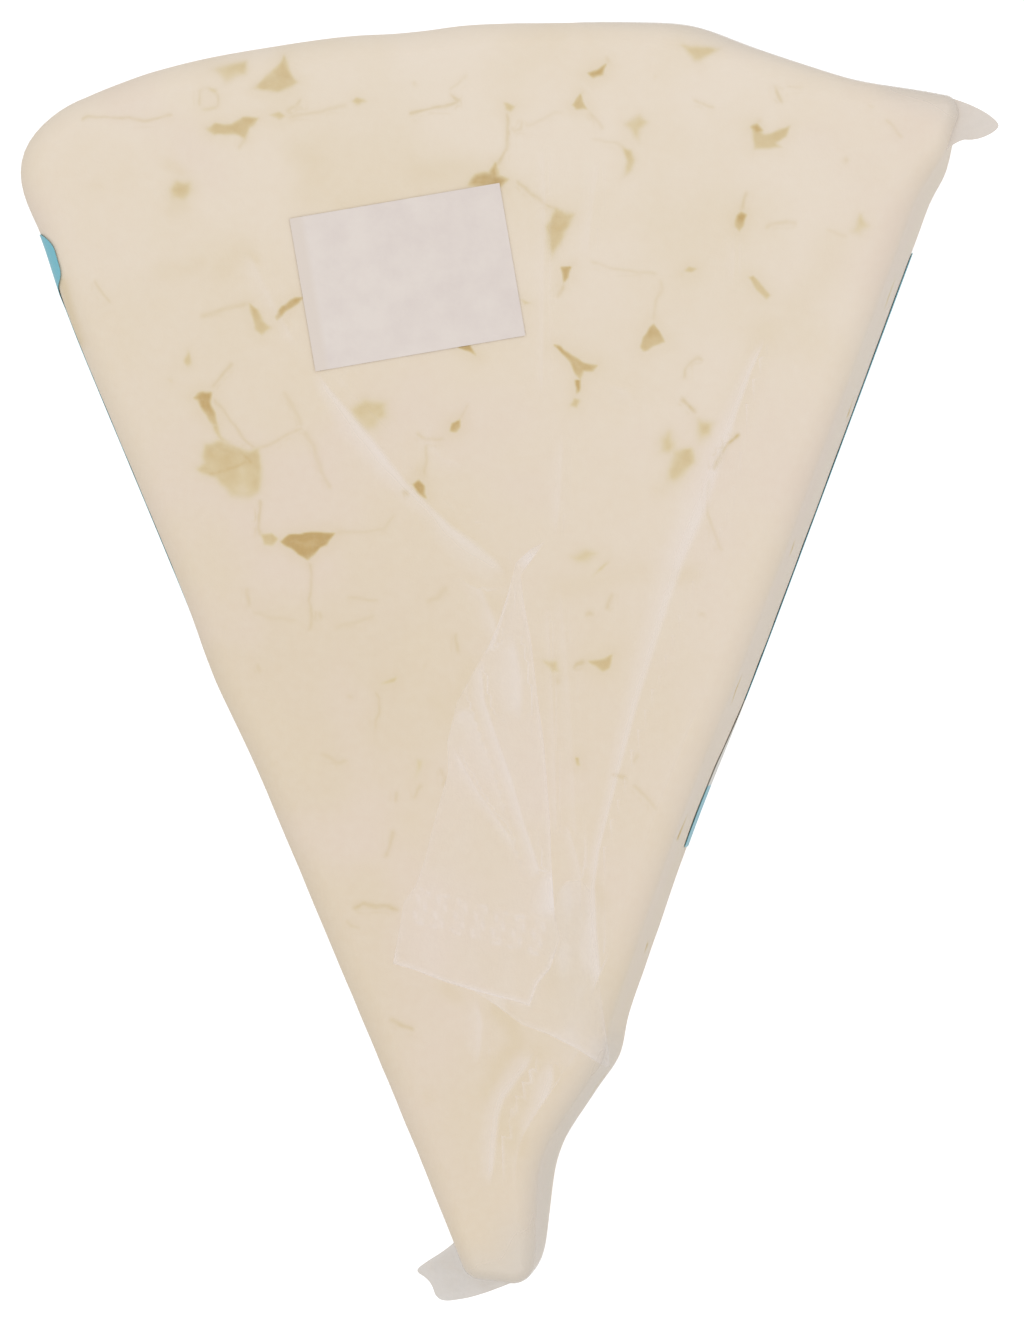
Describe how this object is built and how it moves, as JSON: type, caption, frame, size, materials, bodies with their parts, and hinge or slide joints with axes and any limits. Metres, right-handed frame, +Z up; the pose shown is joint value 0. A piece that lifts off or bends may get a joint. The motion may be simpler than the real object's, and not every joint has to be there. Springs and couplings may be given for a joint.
{
  "type": "feta wedge",
  "caption": "Wedge of white brined cheese sealed in clear film, with a blank price label on its upper side and a coloured label wrapped under it and up both cut sides.",
  "frame": {"origin": "middle of the footprint, at the height of the table that the wedge lies on", "axes": "+Z up, out of the plain upper side; +Y from the tip towards the round back; +X towards the corner with the film ear"},
  "size_m": [0.1023, 0.1356, 0.0324],
  "materials": {
    "cheese_in_film": "moist white cheese under tight clear film",
    "price_label": "blank uncoated paper",
    "front_label": "coloured print on glossy label stock"
  },
  "bodies": {
    "root": {"wrapped_wedge": "cheese_in_film", "price_label": "price_label", "front_label": "front_label"}
  },
  "joints": []
}
